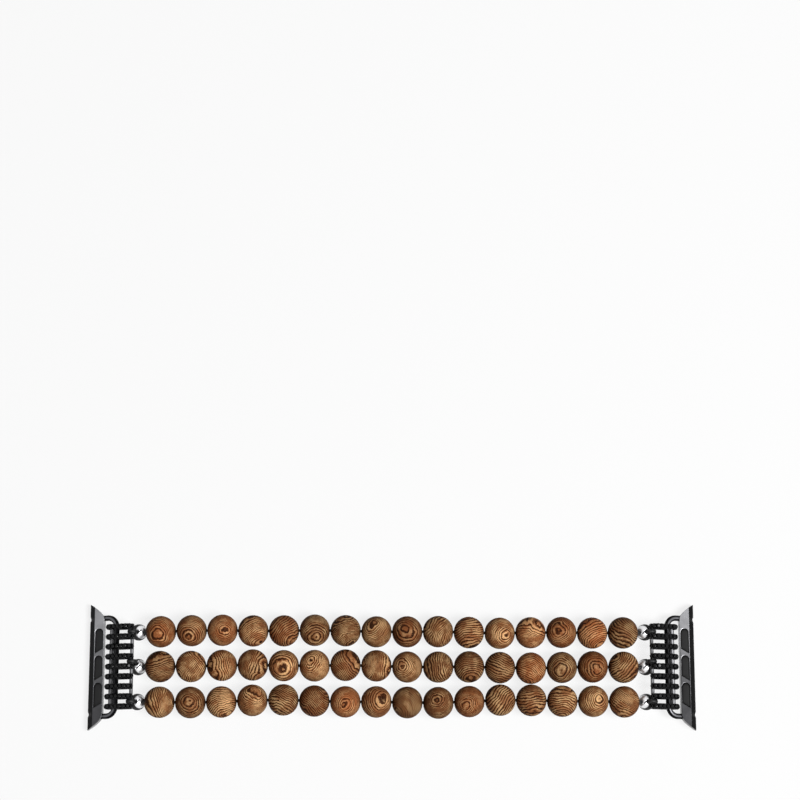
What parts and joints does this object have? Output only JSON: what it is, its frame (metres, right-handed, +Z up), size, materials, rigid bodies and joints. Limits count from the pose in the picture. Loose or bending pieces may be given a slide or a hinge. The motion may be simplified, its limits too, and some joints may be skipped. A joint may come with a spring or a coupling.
{
  "type": "beaded watch band",
  "caption": "Elastic watch band: strands of wooden beads between black link frames set with stones, on wire bails with slide-in lugs for a watch case.",
  "frame": {"origin": "on the table under the middle of the band, at the centre of the bounding box's bottom face", "axes": "+X along the band from its left lug to its right lug, +Y across the strands, +Z up out of the table, the side that is worn outward"},
  "size_m": [0.159, 0.033, 0.008],
  "materials": {
    "wood": "satin, mottled grain",
    "cord": "satin elastic cord",
    "silver": "polished",
    "gunmetal": "polished dark plating",
    "black_stone": "faceted, opaque",
    "black_metal": "semi-gloss black"
  },
  "bodies": {
    "column_01": {"bead_front_01": "wood", "bead_middle_01": "wood", "bead_back_01": "wood"},
    "column_02": {"bead_front_02": "wood", "bead_middle_02": "wood", "bead_back_02": "wood"},
    "column_03": {"bead_front_03": "wood", "bead_middle_03": "wood", "bead_back_03": "wood"},
    "column_04": {"bead_front_04": "wood", "bead_middle_04": "wood", "bead_back_04": "wood"},
    "column_05": {"bead_front_05": "wood", "bead_middle_05": "wood", "bead_back_05": "wood"},
    "column_06": {"bead_front_06": "wood", "bead_middle_06": "wood", "bead_back_06": "wood"},
    "column_07": {"bead_front_07": "wood", "bead_middle_07": "wood", "bead_back_07": "wood"},
    "column_08": {"bead_front_08": "wood", "bead_middle_08": "wood", "bead_back_08": "wood", "elastic_cords": "cord"},
    "column_09": {"bead_front_09": "wood", "bead_middle_09": "wood", "bead_back_09": "wood"},
    "column_10": {"bead_front_10": "wood", "bead_middle_10": "wood", "bead_back_10": "wood"},
    "column_11": {"bead_front_11": "wood", "bead_middle_11": "wood", "bead_back_11": "wood"},
    "column_12": {"bead_front_12": "wood", "bead_middle_12": "wood", "bead_back_12": "wood"},
    "column_13": {"bead_front_13": "wood", "bead_middle_13": "wood", "bead_back_13": "wood"},
    "column_14": {"bead_front_14": "wood", "bead_middle_14": "wood", "bead_back_14": "wood"},
    "column_15": {"bead_front_15": "wood", "bead_middle_15": "wood", "bead_back_15": "wood"},
    "column_16": {"bead_front_16": "wood", "bead_middle_16": "wood", "bead_back_16": "wood"},
    "left_knots": {"left_knot_covers": "silver"},
    "left_link": {"left_link_frame": "gunmetal", "left_link_stones": "black_stone"},
    "left_lug": {"left_bail": "gunmetal", "left_lug": "black_metal"},
    "right_knots": {"right_knot_covers": "silver"},
    "right_link": {"right_link_frame": "gunmetal", "right_link_stones": "black_stone"},
    "right_lug": {"right_bail": "gunmetal", "right_lug": "black_metal"}
  },
  "joints": [
    {"name": "bend_01_02", "type": "hinge", "parent": "column_02", "child": "column_01", "pos_m": [-0.05662, 0, 0.004], "axis": [0, -1, 0], "range_deg": [-15, 15], "stiffness_Nm_per_rad": 0.003, "deforming": ["elastic_cords"]},
    {"name": "bend_02_03", "type": "hinge", "parent": "column_03", "child": "column_02", "pos_m": [-0.04853, 0, 0.004], "axis": [0, -1, 0], "range_deg": [-15, 15], "stiffness_Nm_per_rad": 0.003, "deforming": ["elastic_cords"]},
    {"name": "bend_03_04", "type": "hinge", "parent": "column_04", "child": "column_03", "pos_m": [-0.04045, 0, 0.004], "axis": [0, -1, 0], "range_deg": [-15, 15], "stiffness_Nm_per_rad": 0.003, "deforming": ["elastic_cords"]},
    {"name": "bend_04_05", "type": "hinge", "parent": "column_05", "child": "column_04", "pos_m": [-0.03236, 0, 0.004], "axis": [0, -1, 0], "range_deg": [-15, 15], "stiffness_Nm_per_rad": 0.003, "deforming": ["elastic_cords"]},
    {"name": "bend_05_06", "type": "hinge", "parent": "column_06", "child": "column_05", "pos_m": [-0.02427, 0, 0.004], "axis": [0, -1, 0], "range_deg": [-15, 15], "stiffness_Nm_per_rad": 0.003, "deforming": ["elastic_cords"]},
    {"name": "bend_06_07", "type": "hinge", "parent": "column_07", "child": "column_06", "pos_m": [-0.01618, 0, 0.004], "axis": [0, -1, 0], "range_deg": [-15, 15], "stiffness_Nm_per_rad": 0.003, "deforming": ["elastic_cords"]},
    {"name": "bend_07_08", "type": "hinge", "parent": "column_08", "child": "column_07", "pos_m": [-0.00809, 0, 0.004], "axis": [0, -1, 0], "range_deg": [-15, 15], "stiffness_Nm_per_rad": 0.003, "deforming": ["elastic_cords"]},
    {"name": "bend_08_09", "type": "hinge", "parent": "column_08", "child": "column_09", "pos_m": [0, 0, 0.004], "axis": [0, 1, 0], "range_deg": [-15, 15], "stiffness_Nm_per_rad": 0.003, "deforming": ["elastic_cords"]},
    {"name": "bend_09_10", "type": "hinge", "parent": "column_09", "child": "column_10", "pos_m": [0.00809, 0, 0.004], "axis": [0, 1, 0], "range_deg": [-15, 15], "stiffness_Nm_per_rad": 0.003, "deforming": ["elastic_cords"]},
    {"name": "bend_10_11", "type": "hinge", "parent": "column_10", "child": "column_11", "pos_m": [0.01618, 0, 0.004], "axis": [0, 1, 0], "range_deg": [-15, 15], "stiffness_Nm_per_rad": 0.003, "deforming": ["elastic_cords"]},
    {"name": "bend_11_12", "type": "hinge", "parent": "column_11", "child": "column_12", "pos_m": [0.02427, 0, 0.004], "axis": [0, 1, 0], "range_deg": [-15, 15], "stiffness_Nm_per_rad": 0.003, "deforming": ["elastic_cords"]},
    {"name": "bend_12_13", "type": "hinge", "parent": "column_12", "child": "column_13", "pos_m": [0.03236, 0, 0.004], "axis": [0, 1, 0], "range_deg": [-15, 15], "stiffness_Nm_per_rad": 0.003, "deforming": ["elastic_cords"]},
    {"name": "bend_13_14", "type": "hinge", "parent": "column_13", "child": "column_14", "pos_m": [0.04045, 0, 0.004], "axis": [0, 1, 0], "range_deg": [-15, 15], "stiffness_Nm_per_rad": 0.003, "deforming": ["elastic_cords"]},
    {"name": "bend_14_15", "type": "hinge", "parent": "column_14", "child": "column_15", "pos_m": [0.04853, 0, 0.004], "axis": [0, 1, 0], "range_deg": [-15, 15], "stiffness_Nm_per_rad": 0.003, "deforming": ["elastic_cords"]},
    {"name": "bend_15_16", "type": "hinge", "parent": "column_15", "child": "column_16", "pos_m": [0.05662, 0, 0.004], "axis": [0, 1, 0], "range_deg": [-15, 15], "stiffness_Nm_per_rad": 0.003, "deforming": ["elastic_cords"]},
    {"name": "left_stretch", "type": "slide", "parent": "column_01", "child": "left_knots", "axis": [-1, 0, 0], "range_m": [0, 0.006], "stiffness_N_per_m": 240, "springref_m": -0.006, "deforming": ["elastic_cords"]},
    {"name": "left_link_swing", "type": "hinge", "parent": "left_knots", "child": "left_link", "pos_m": [-0.06811, 0, 0.00441], "axis": [0, -1, 0], "range_deg": [-40, 7], "deforming": ["elastic_cords"]},
    {"name": "left_lug_swing", "type": "hinge", "parent": "left_link", "child": "left_lug", "pos_m": [-0.07229, 0, 0.00365], "axis": [0, -1, 0], "range_deg": [-45, 45]},
    {"name": "right_stretch", "type": "slide", "parent": "column_16", "child": "right_knots", "axis": [1, 0, 0], "range_m": [0, 0.006], "stiffness_N_per_m": 240, "springref_m": -0.006, "deforming": ["elastic_cords"]},
    {"name": "right_link_swing", "type": "hinge", "parent": "right_knots", "child": "right_link", "pos_m": [0.06811, 0, 0.00441], "axis": [0, 1, 0], "range_deg": [-40, 7], "deforming": ["elastic_cords"]},
    {"name": "right_lug_swing", "type": "hinge", "parent": "right_link", "child": "right_lug", "pos_m": [0.07229, 0, 0.00365], "axis": [0, 1, 0], "range_deg": [-45, 45]}
  ],
  "couplings": [
    {"joint": "right_stretch", "follows": "left_stretch", "ratio": 1}
  ]
}
